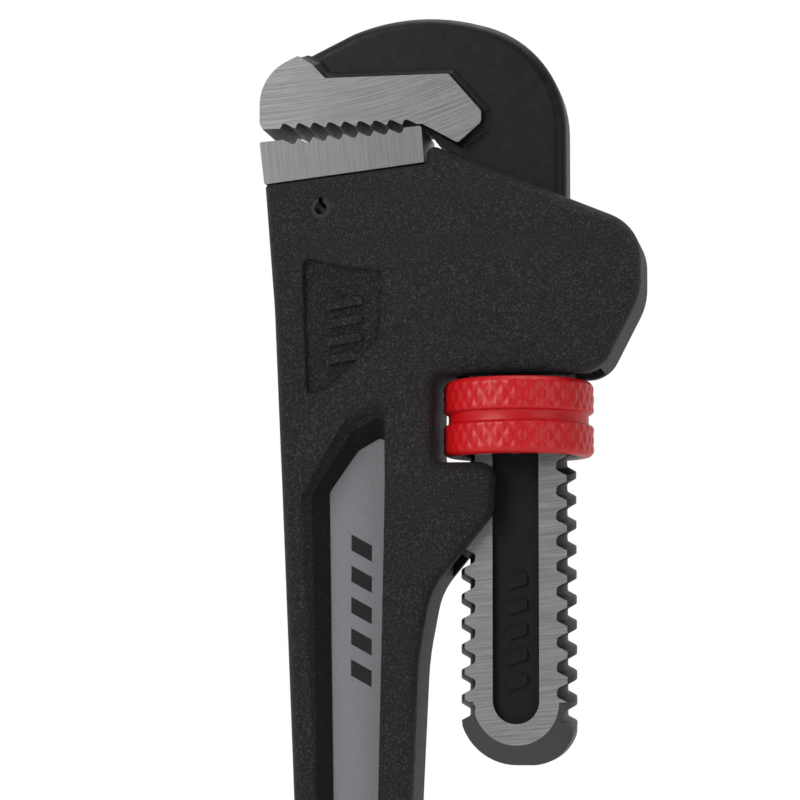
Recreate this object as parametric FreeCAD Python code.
import FreeCAD, Part
import math
import os

# A 10-inch (250 mm) pipe wrench. Millimetres. X runs across the handle towards
# the housing's nose, Y through the thickness, and Z along the handle and the
# hook's shank. The origin is the centre of the hanging hole.

# Handle casting, seen from the front (X, Z)
handle_left_foot = -8.9
handle_right_foot = 8.3
handle_bend_z = 52.0
handle_left_bend = -12.8
handle_right_bend = 9.4
handle_foot_z = -9.5
hang_hole_r = 5.0
head_left = -18.9
head_slope_start_x = 12.6
head_slope_start_z = 176.0
head_slope = -0.4226
nose_x = 52.1
nose_face = 12.6
nose_foot_inset = 7.5
neck_x = 10.6
neck_z = 80.0

# Handle casting, half thickness along its length
head_half = 9.5
foot_thinner = 2.7
grip_thinner = 1.7
top_thinner = 1.1
edge_round = 2.2
rim_round = 0.6
rim_foot_z = 57.0
pad_depth = 1.1
pocket_mouth_inset = 0.9
pocket_floor_y = 4.1

# Thread of the shank and the adjusting nut
shank_x = 28.35
shank_half = 5.0
thread_r = 10.7
thread_depth = 1.65
tooth_pitch = 4.618
thread_starts = 2
root_gap = 1.5
root_round = 0.7
flank_angle = 30.0
shank_foot_z = 60.7
thread_top_z = 137.0
foot_face_r = 7.7
foot_rim = 3.8
foot_drop = 1.7
foot_left_flat = 0.2
foot_right_flat = 2.7
slot_width = 8.6
slot_depth = 1.2
slot_foot_z = 68.2
slot_top_z = 150.0

# Adjusting nut
nut_r = 14.15
nut_foot_z = 117.4
nut_height = 14.2
nut_groove_z = 124.35
nut_groove_height = 2.0
nut_groove_depth = 1.1
nut_edge = 0.9
thread_clearance = 0.1

# Window of the nut, channel of the shank and groove between the cheeks
window_gap_above = 0.8
window_gap_below = 1.2
nut_side_gap = 0.6
cheek_right = 25.0
cheek_foot_z = 106.6
side_clearance = 0.4
channel_left_clearance = 0.5
rock_room = 5.2
groove_left = 15.2
groove_foot_z = 78.0

# Hook jaw
web_half = 5.0
web_round = 2.2
land_half = 7.5
land_fillet = 2.2
hook_left = -20.0
hook_tooth_z = 179.8
web_left_inset = 0.25
web_right_inset = 1.1
land_tip_x = -12.3

# Heel jaw and its pin
heel_inset = 1.7
heel_left_foot = (-18.9, 169.1)
heel_right_foot = (11.7, 172.4)
heel_right_top = (11.1, 179.3)
heel_left_top = (-19.9, 177.2)
tang_half = 3.5
tang_left = -14.0
tang_right = 3.0
tang_foot_z = 159.6
pin_x = -7.8
pin_z = 164.1
pin_r = 2.05
pin_bore_r = 1.15
pin_slot = 0.9
pin_inset = 0.2
press_clearance = 0.02
seat_clearance = 0.05

# Saw teeth of both jaws
jaw_pitch = 2.93
jaw_tooth_depth = 0.9
jaw_tooth_count = 9

# Springs behind the shank
spring_x = shank_x + thread_r + 0.3
spring_strip = 0.8
spring_strip_half = 3.6
spring_foot_z = 134.5
spring_head_z = 161.0
coil_z = 150.0
coil_r = 2.7
coil_wire_r = 0.45
coil_turns = 5
coil_pocket_depth = 4.6
coil_pocket_clearance = 0.35
rivet_r = 1.4
rivet_head_r = 2.0
rivet_length = 3.2


def vec(x, y, z):
    return FreeCAD.Vector(x, y, z)


def rounded_wire(corners, y=0.0):
    """Closed wire in the plane of constant y. Each corner is (x, z, radius)."""
    count = len(corners)
    cuts = []
    for i in range(count):
        x, z, r = corners[i]
        here = vec(x, y, z)
        before = vec(corners[i - 1][0], y, corners[i - 1][1])
        after = vec(corners[(i + 1) % count][0], y, corners[(i + 1) % count][1])
        u = (before - here).normalize()
        v = (after - here).normalize()
        if r <= 0:
            cuts.append((here, None, here))
            continue
        half = u.getAngle(v) / 2
        reach = r / math.tan(half)
        centre = here + (u + v).normalize() * (r / math.sin(half))
        middle = centre + (here - centre).normalize() * r
        cuts.append((here + u * reach, middle, here + v * reach))
    edges = []
    for i in range(count):
        start, middle, end = cuts[i]
        if middle is not None:
            edges.append(Part.Arc(start, middle, end).toShape())
        following = cuts[(i + 1) % count][0]
        if end.distanceToPoint(following) > 1e-6:
            edges.append(Part.LineSegment(end, following).toShape())
    return Part.Wire(edges)


def prism(corners, y_low, y_high):
    """The outline of rounded corners, as a plate between two depths."""
    face = Part.Face(rounded_wire(corners, y_low))
    return face.extrude(vec(0, y_high - y_low, 0))


def box(x0, x1, y0, y1, z0, z1):
    return Part.makeBox(x1 - x0, y1 - y0, z1 - z0, vec(x0, y0, z0))


def cylinder(radius, length, start, direction):
    return Part.makeCylinder(radius, length, start, direction)


def mirrored(shape):
    """The same shape on the other side of the wrench."""
    return shape.mirror(vec(0, 0, 0), vec(0, 1, 0))


def on_both_sides(shape):
    return [shape, mirrored(shape)]


def slope_z(x):
    """Height of the head's sloping top at x."""
    return head_slope_start_z + head_slope * (x - head_slope_start_x)


def save(shape, node):
    solid = shape
    if len(shape.Solids) == 1:
        solid = shape.Solids[0]
    solid.exportStep("parts/" + node + ".step")
    print(node, len(shape.Solids), shape.isValid(), round(shape.Volume, 1))


def rounded_edges(solid, wanted, radius):
    """The solid with its wanted edges rounded."""
    return solid.makeFillet(radius, [e for e in solid.Edges if wanted(e)])


def mouth_edges(body, hollows, floor_y, foot_z):
    """Edges above foot_z where the hollows' walls meet the body's outer faces."""
    found = []
    for edge in body.Edges:
        clear_of_floor = min(abs(v.Y) for v in edge.Vertexes) > floor_y + 0.3
        middle = Part.Vertex(edge.valueAt((edge.FirstParameter + edge.LastParameter) / 2))
        above = edge.BoundBox.ZMin > foot_z
        if clear_of_floor and above and min(h.distToShape(middle)[0] for h in hollows) < 0.001:
            found.append(edge)
    return found


# Sizes that follow from the ones above
foot_half = head_half - foot_thinner
grip_half = head_half - grip_thinner
top_half = head_half - top_thinner
pocket_mouth_y = head_half - pocket_mouth_inset
heel_half = head_half - heel_inset
nose_turn_z = slope_z(nose_x) - nose_face
nose_foot_x = nose_x - nose_foot_inset
root_r = thread_r - thread_depth
window_left = shank_x - nut_r - nut_side_gap
nut_top_z = nut_foot_z + nut_height
window_top_z = nut_top_z + window_gap_above
window_foot_z = nut_foot_z - window_gap_below
channel_left = shank_x - thread_r - channel_left_clearance
channel_right = shank_x + thread_r + rock_room
channel_half = shank_half + side_clearance
web_left = shank_x - thread_r + web_left_inset
web_right = shank_x + thread_r - web_right_inset


def side_outline():
    """Half thickness of the handle along Z, as a plate across X."""
    corners = [
        (foot_half, handle_foot_z - 3, 0),
        (grip_half, 60.0, 300),
        (head_half, 118.0, 120),
        (head_half, 150.0, 120),
        (top_half, 180.0, 0),
    ]
    outline = corners + [(-y, z, r) for y, z, r in reversed(corners)]
    wire = rounded_wire(outline)
    wire.rotate(vec(0, 0, 0), vec(0, 0, 1), 90)
    wire.translate(vec(-40, 0, 0))
    return Part.Face(wire).extrude(vec(110, 0, 0))


def handle_outline():
    return [
        (handle_left_foot, handle_foot_z, 8.3),
        (handle_left_bend, handle_bend_z, 150.0),
        (-15.25, 114.0, 200),
        (-16.8, 146.0, 120),
        (head_left, heel_left_foot[1], 0.6),
        (heel_right_foot[0] + 0.3, heel_right_foot[1], 0.4),
        (heel_right_foot[0] + 0.3, slope_z(heel_right_foot[0] + 0.3), 1.5),
        (nose_x, slope_z(nose_x), 9.0),
        (nose_x - 0.1, nose_turn_z, 12.0),
        (nose_foot_x, window_top_z, 6.0),
        (window_left, window_top_z, 2.5),
        (window_left, window_foot_z, 1.5),
        (cheek_right, window_foot_z, 3.0),
        (cheek_right - 0.6, cheek_foot_z, 3.5),
        (neck_x + 2.3, cheek_foot_z - 14.0, 14.0),
        (neck_x, neck_z, 60.0),
        (handle_right_bend, handle_bend_z, 150.0),
        (handle_right_foot, handle_foot_z, 8.3),
    ]


def grip_pocket():
    """The long sunk panel between the rims of the handle's front face."""
    mouth = [
        (-6.2, 12.5, 3.0),
        (-9.4, handle_bend_z, 0),
        (-10.9, 110.0, 3.0),
        (-2.6, 123.4, 4.0),
        (4.4, 127.4, 1.6),
        (4.5, 112.0, 0),
        (4.2, 95.0, 0),
        (3.3, handle_bend_z, 0),
        (4.0, 12.5, 3.0),
    ]
    floor = [
        (-3.6, 16.0, 1.6),
        (-5.6, handle_bend_z, 0),
        (-6.6, 111.0, 2.2),
        (-1.2, 118.6, 3.0),
        (4.1, 121.6, 1.2),
        (3.8, 112.0, 0),
        (3.5, 95.0, 0),
        (2.6, handle_bend_z, 0),
        (2.6, 16.0, 1.6),
    ]
    reach = (head_half + 1.6 - pocket_floor_y) / (pocket_mouth_y - pocket_floor_y)
    wide = [
        (fx + (mx - fx) * reach, fz + (mz - fz) * reach, r)
        for (mx, mz, r), (fx, fz, _) in zip(mouth, floor)
    ]
    return Part.makeLoft(
        [rounded_wire(wide, -head_half - 1.6), rounded_wire(floor, -pocket_floor_y)], True, True
    )


def size_pad():
    """The shallow sunk field on the head, without its raised ribs."""
    outline = [
        (-10.2, 129.0, 1.0),
        (-11.1, 154.8, 1.2),
        (-3.8, 152.8, 2.0),
        (4.1, 151.9, 1.0),
        (3.4, 139.4, 2.0),
        (-6.3, 129.9, 2.0),
    ]
    return prism(outline, -head_half - 2, -head_half + pad_depth)


def size_pad_ribs():
    """Plain raised ribs in the sunk field."""
    ribs = []
    for i in range(4):
        low = 134.5 + 3.4 * i
        rib = prism(
            [
                (-6.6, low, 0.5),
                (-6.6, low + 1.5, 0.5),
                (0.2, low + 2.6, 0.5),
                (0.2, low + 1.1, 0.5),
            ],
            -head_half + 0.45,
            -head_half + 1.6,
        )
        ribs.append(rib)
    return ribs


def make_handle():
    outline = prism(handle_outline(), -12.0, 12.0)
    body = outline.common(side_outline()).removeSplitter()

    def on_rim(edge):
        ys = [abs(v.Y) for v in edge.Vertexes]
        same_side = len({v.Y > 0 for v in edge.Vertexes}) == 1
        middle = edge.valueAt((edge.FirstParameter + edge.LastParameter) / 2)
        on_seat = middle.z > 168.5 and middle.x < heel_right_foot[0] + 2.2
        flank = min(ys) > foot_half - 0.5
        across = len(edge.Vertexes) == 2 and len(
            [f for f in body.ancestorsOfType(edge, Part.Face) if abs(f.normalAt(0, 0).y) > 0.9]
        ) == 1
        return same_side and flank and across and not on_seat

    body = rounded_edges(body, on_rim, edge_round)
    pockets = on_both_sides(grip_pocket())
    pads = on_both_sides(size_pad())
    cuts = pockets + pads
    channel = box(
        channel_left,
        channel_right,
        -channel_half,
        channel_half,
        window_top_z - 3,
        slope_z(channel_left) + 5,
    )
    groove = box(
        groove_left,
        cheek_right + 5,
        -channel_half,
        channel_half,
        groove_foot_z,
        window_foot_z + 3,
    )
    tang_slot = box(
        tang_left - seat_clearance,
        tang_right + seat_clearance,
        -tang_half - seat_clearance,
        tang_half + seat_clearance,
        tang_foot_z - 0.3,
        180.0,
    )
    cuts.append(channel)
    cuts.append(groove)
    cuts.append(tang_slot)
    cuts.append(cylinder(hang_hole_r, 30, vec(0, -15, 0), vec(0, 1, 0)))
    cuts.append(cylinder(pin_r + press_clearance, 30, vec(pin_x, -15, pin_z), vec(0, 1, 0)))
    cuts.append(
        cylinder(
            coil_r + coil_wire_r + coil_pocket_clearance,
            coil_pocket_depth,
            vec(channel_right, 0, coil_z),
            vec(1, 0, 0),
        )
    )
    body = body.cut(cuts)
    body = body.makeFillet(rim_round, mouth_edges(body, pockets, pocket_floor_y, rim_foot_z))
    body = body.makeFillet(rim_round, mouth_edges(body, pads, head_half - pad_depth, rim_foot_z))
    ribs = [r for rib in size_pad_ribs() for r in on_both_sides(rib)]
    return body.fuse(ribs)


def thread_valley(side, z):
    """One groove between two teeth, on one edge of the shank (side is 1 or -1)."""
    half_root = root_gap / 2
    half_tip = half_root + thread_depth * math.tan(math.radians(flank_angle))
    rise = (half_tip - half_root) / thread_depth
    outer = thread_r + 1.0
    corners = [
        (root_r, -half_root, root_round),
        (root_r, half_root, root_round),
        (outer, half_root + rise * (outer - root_r), 0),
        (outer, -half_root - rise * (outer - root_r), 0),
    ]
    ring = Part.Face(rounded_wire(corners)).revolve(vec(0, 0, 0), vec(0, 0, 1), 180)
    ring.rotate(vec(0, 0, 0), vec(0, 0, 1), -90 if side > 0 else 90)
    lead = thread_starts * tooth_pitch
    helix_angle = math.degrees(math.atan(lead / (2 * math.pi * (thread_r + root_r) / 2)))
    ring.rotate(vec(0, 0, 0), vec(1, 0, 0), side * helix_angle)
    ring.translate(vec(shank_x, 0, z))
    return ring


def foot_slope():
    """What the forged foot loses on the front: a slope down from a round face."""
    centre_z = shank_foot_z + foot_face_r + foot_rim
    corners = [
        (foot_face_r, -shank_half - 0.01, 0),
        (foot_face_r + foot_rim + 2, -shank_half - 0.01, 0),
        (foot_face_r + foot_rim + 2, -shank_half + foot_drop * (1 + 2 / foot_rim), 0),
    ]
    points = [vec(x, y, 0) for x, y, _ in corners]
    face = Part.Face(Part.makePolygon(points + points[:1]))
    ring = face.revolve(vec(0, 0, 0), vec(0, 1, 0), 180)
    ring.translate(vec(shank_x, 0, centre_z))
    return ring


def make_shank():
    """The lower, threaded part of the hook, below the plain web."""
    height = thread_top_z + 12 - shank_foot_z
    round_bar = cylinder(thread_r, height, vec(shank_x, 0, shank_foot_z), vec(0, 0, 1))
    foot = [
        (shank_x - thread_r, shank_foot_z, thread_r - foot_left_flat),
        (shank_x - thread_r, shank_foot_z + height, 0),
        (shank_x + thread_r, shank_foot_z + height, 0),
        (shank_x + thread_r, shank_foot_z, thread_r - foot_right_flat),
    ]
    plate = prism(foot, -shank_half, shank_half)
    bar = plate.common(round_bar).cut(on_both_sides(foot_slope()))
    valleys = []
    first = shank_foot_z + 9.4
    count = int((thread_top_z - first) / tooth_pitch) + 1
    for i in range(count):
        for side in (1, -1):
            valleys.append(thread_valley(side, first + i * tooth_pitch))
    return bar.cut(valleys)


def slot_pocket():
    """The sunk slot along the middle of the shank."""
    half = slot_width / 2
    outline = [
        (shank_x - half, slot_foot_z, half - 0.01),
        (shank_x - half, slot_top_z, half - 0.01),
        (shank_x + half, slot_top_z, half - 0.01),
        (shank_x + half, slot_foot_z, half - 0.01),
    ]
    return prism(outline, -shank_half - 1, -shank_half + slot_depth)


def slot_marks():
    """Plain raised bars near the foot of the slot."""
    marks = []
    for i in range(5):
        low = slot_foot_z + 6.0 + 4.6 * i
        bar = prism(
            [
                (shank_x - 2.0, low, 0.6),
                (shank_x - 2.0, low + 2.2, 0.6),
                (shank_x + 2.0, low + 3.4, 0.6),
                (shank_x + 2.0, low + 1.2, 0.6),
            ],
            -shank_half + slot_depth - 0.5,
            -shank_half + slot_depth + 0.2,
        )
        marks.append(bar)
    return marks


def hook_outline():
    """The hook seen from the front: a vertical bar that bends over to the nose."""
    start = vec(web_left, 0, thread_top_z + 3)
    throat = vec(web_left, 0, 173.6)
    throat_side = vec(web_left - 0.7, 0, 174.6)
    throat_top = vec(web_left - 4.1, 0, 176.4)
    lip = vec(11.3, 0, hook_tooth_z)
    nose_foot = vec(hook_left + 0.6, 0, hook_tooth_z)
    nose_side = vec(hook_left, 0, 181.0)
    nose_top = vec(hook_left, 0, 184.6)
    nose_end = vec(-15.0, 0, 192.6)
    land_tip = vec(land_tip_x, 0, 193.9)
    crown_start = vec(-2.6, 0, 198.5)
    crown_end = vec(web_right - 16.05, 0, 199.2)
    shoulder_end = vec(web_right, 0, 178.9)
    foot_end = vec(web_right, 0, thread_top_z + 3)
    edges = [
        Part.LineSegment(start, throat),
        Part.LineSegment(throat, throat_side),
        Part.LineSegment(throat_side, throat_top),
        Part.LineSegment(throat_top, lip),
        Part.LineSegment(lip, nose_foot),
        Part.LineSegment(nose_foot, nose_side),
        Part.LineSegment(nose_side, nose_top),
        Part.Arc(nose_top, vec(-18.6, 0, 189.4), nose_end),
        Part.LineSegment(nose_end, land_tip),
        Part.LineSegment(land_tip, crown_start),
        Part.Arc(crown_start, vec(10.4, 0, 200.9), crown_end),
        Part.Arc(crown_end, vec(web_right - 4.95, 0, 192.2), shoulder_end),
        Part.LineSegment(shoulder_end, foot_end),
        Part.LineSegment(foot_end, start),
    ]
    return Part.Wire([e.toShape() for e in edges])


def hook_web():
    """The flat web of the hook, its outer edges rounded."""
    web = Part.Face(hook_outline()).extrude(vec(0, 2 * web_half, 0))
    web.translate(vec(0, -web_half, 0))

    def outer_rim(edge):
        middle = edge.valueAt((edge.FirstParameter + edge.LastParameter) / 2)
        on_face = abs(abs(middle.y) - web_half) < 0.01
        outer = middle.z > 182 and middle.x > land_tip_x
        right = middle.x > web_right - 0.5 and middle.z > thread_top_z + 4
        left = abs(middle.x - web_left) < 0.1 and middle.z > thread_top_z + 4
        return on_face and (outer or right or left)

    return rounded_edges(web, outer_rim, web_round)


def hook_outline_plate():
    """The hook's outline as a plate thick enough to hold the lands."""
    face = Part.Face(hook_outline())
    plate = face.extrude(vec(0, 2 * land_half + 2, 0))
    plate.translate(vec(0, -land_half - 1, 0))
    return plate


def land_corners(grow):
    """Corners of the ground land beside the teeth, pushed outward by grow."""
    return [
        (hook_left - 1.0, hook_tooth_z, 0),
        (hook_left - 1.0, 190.0, 0),
        (-17.0, 193.6, 0),
        (land_tip_x - 0.3, 193.7 + 0.5 * grow, 0.6),
        (-9.9 + grow, 192.0 + 0.6 * grow, 1.0),
        (-7.4 + 0.4 * grow, 189.2 + grow, 1.0),
        (16.2 + 0.4 * grow, 189.2 + grow, 1.0),
        (22.4 + grow, 181.9 + 0.4 * grow, 1.0),
        (22.4 + grow, 179.8 - 0.4 * grow, 1.0),
        (18.0 + 0.3 * grow, 176.0 - 0.4 * grow, 0.6),
        (11.3, hook_tooth_z, 0.6),
    ]


def hook_land():
    """The land on the front, its wall curving out to the web all round."""
    levels = [land_half - web_half, land_fillet * 0.65, land_fillet * 0.35, land_fillet * 0.12, -0.2]
    wires = []
    for level in levels:
        rise = min(max(land_fillet - level, 0.0), land_fillet)
        grow = land_fillet - math.sqrt(land_fillet**2 - rise**2)
        wires.append(rounded_wire(land_corners(grow), -web_half - level))
    return Part.makeLoft(wires, True, True).common(hook_outline_plate())


def hook_tooth_gap(index):
    tip = -16.0 + jaw_pitch * index
    return prism(
        [
            (tip, hook_tooth_z - 1.0, 0),
            (tip, hook_tooth_z, 0),
            (tip + 0.45, hook_tooth_z + jaw_tooth_depth, 0.2),
            (tip + 1.05, hook_tooth_z + jaw_tooth_depth, 0.2),
            (tip + jaw_pitch - 0.15, hook_tooth_z, 0),
            (tip + jaw_pitch - 0.15, hook_tooth_z - 1.0, 0),
        ],
        -12.0,
        12.0,
    )


def make_hook():
    web = hook_web()
    lands = on_both_sides(hook_land())
    head = web.fuse(lands)
    gaps = [hook_tooth_gap(i) for i in range(jaw_tooth_count)]
    head = head.cut(gaps)
    body = head.fuse(make_shank())
    body = body.cut(on_both_sides(slot_pocket()))
    marks = [m for mark in slot_marks() for m in on_both_sides(mark)]
    return body.fuse(marks)


def heel_tooth_gap(index):
    """A saw gap in the heel's face, square to it."""
    rise = heel_right_top[1] - heel_left_top[1]
    run = heel_right_top[0] - heel_left_top[0]
    tilt = math.degrees(math.atan2(rise, run))
    start = 4.6 + jaw_pitch * index
    gap = prism(
        [
            (start, 1.0, 0),
            (start, 0.0, 0),
            (start + 1.6, -jaw_tooth_depth, 0.2),
            (start + 2.2, -jaw_tooth_depth, 0.2),
            (start + jaw_pitch - 0.15, 0.0, 0),
            (start + jaw_pitch - 0.15, 1.0, 0),
        ],
        -12.0,
        12.0,
    )
    gap.rotate(vec(0, 0, 0), vec(0, 1, 0), -tilt)
    gap.translate(vec(heel_left_top[0], 0, heel_left_top[1]))
    return gap


def make_heel():
    block = prism(
        [
            (heel_left_foot[0], heel_left_foot[1], 0.3),
            (heel_left_top[0], heel_left_top[1], 0.3),
            (heel_right_top[0], heel_right_top[1], 0.3),
            (heel_right_foot[0], heel_right_foot[1], 0.3),
        ],
        -heel_half,
        heel_half,
    )
    block.translate(vec(0, 0, seat_clearance))
    block = block.cut([heel_tooth_gap(i) for i in range(jaw_tooth_count - 1)])
    tang = box(tang_left, tang_right, -tang_half, tang_half, tang_foot_z, 173.0)
    heel = block.fuse(tang)
    return heel.cut(cylinder(pin_r + press_clearance, 30, vec(pin_x, -15, pin_z), vec(0, 1, 0)))


def make_pin():
    """A rolled spring pin, split along its top."""
    length = 2 * (head_half - 0.5 - pin_inset)
    pin = cylinder(pin_r, length, vec(pin_x, -length / 2, pin_z), vec(0, 1, 0))
    pin = pin.cut(cylinder(pin_bore_r, length + 2, vec(pin_x, -length / 2 - 1, pin_z), vec(0, 1, 0)))
    split = box(
        pin_x - pin_slot / 2,
        pin_x + pin_slot / 2,
        -length / 2 - 1,
        length / 2 + 1,
        pin_z,
        pin_z + pin_r + 1,
    )
    return pin.cut(split)


def make_nut():
    """The nut: two gripping bands with a smooth groove between them."""
    bore = thread_r + thread_clearance
    groove_top = nut_groove_z + nut_groove_height / 2
    groove_foot = nut_groove_z - nut_groove_height / 2
    waist = nut_r - nut_groove_depth
    corners = [
        (bore, nut_foot_z, 0.5),
        (bore, nut_top_z, 0.5),
        (nut_r, nut_top_z, nut_edge),
        (nut_r, groove_top, 0.4),
        (waist, groove_top - 0.3, 0.3),
        (waist, groove_foot + 0.3, 0.3),
        (nut_r, groove_foot, 0.4),
        (nut_r, nut_foot_z, nut_edge),
    ]
    nut = Part.Face(rounded_wire(corners)).revolve(vec(0, 0, 0), vec(0, 0, 1), 360)
    nut.translate(vec(shank_x, 0, 0))
    return nut


def make_flat_spring():
    """A straight steel strip that bears on the back edge of the shank and web."""
    strip = box(
        spring_x,
        spring_x + spring_strip,
        -spring_strip_half,
        spring_strip_half,
        spring_foot_z,
        spring_head_z,
    )
    hole = cylinder(rivet_r + press_clearance, 4, vec(spring_x - 1, 0, coil_z), vec(1, 0, 0))
    return strip.cut(hole)


def make_rivet():
    """The stud that holds the coil on the strip: a thin head and a short post."""
    post = cylinder(rivet_r, rivet_length, vec(spring_x, 0, coil_z), vec(1, 0, 0))
    collar = cylinder(
        rivet_head_r, 0.5, vec(spring_x + spring_strip, 0, coil_z), vec(1, 0, 0)
    )
    return post.fuse(collar)


def make_coil():
    """The compression spring between the strip's stud and its pocket in the nose."""
    start = spring_x + spring_strip + 0.5 + coil_wire_r + 0.1
    end = channel_right + coil_pocket_depth - coil_wire_r - 0.1
    length = end - start
    helix = Part.makeHelix(length / coil_turns, length, coil_r)
    section = Part.Wire(Part.makeCircle(coil_wire_r, vec(coil_r, 0, 0), vec(0, 1, 0)).Edges)
    coil = Part.Wire(helix.Edges).makePipeShell([section], True, True)
    coil.rotate(vec(0, 0, 0), vec(0, 1, 0), 90)
    coil.translate(vec(start, 0, coil_z))
    return coil


os.makedirs("parts", exist_ok=True)
save(make_handle(), "handle")
save(make_hook(), "hook_jaw")
save(make_heel(), "heel_jaw")
save(make_pin(), "heel_jaw_pin")
save(make_nut(), "adjusting_nut")
save(make_flat_spring(), "flat_spring")
save(make_rivet(), "spring_stud")
save(make_coil(), "coil_spring")
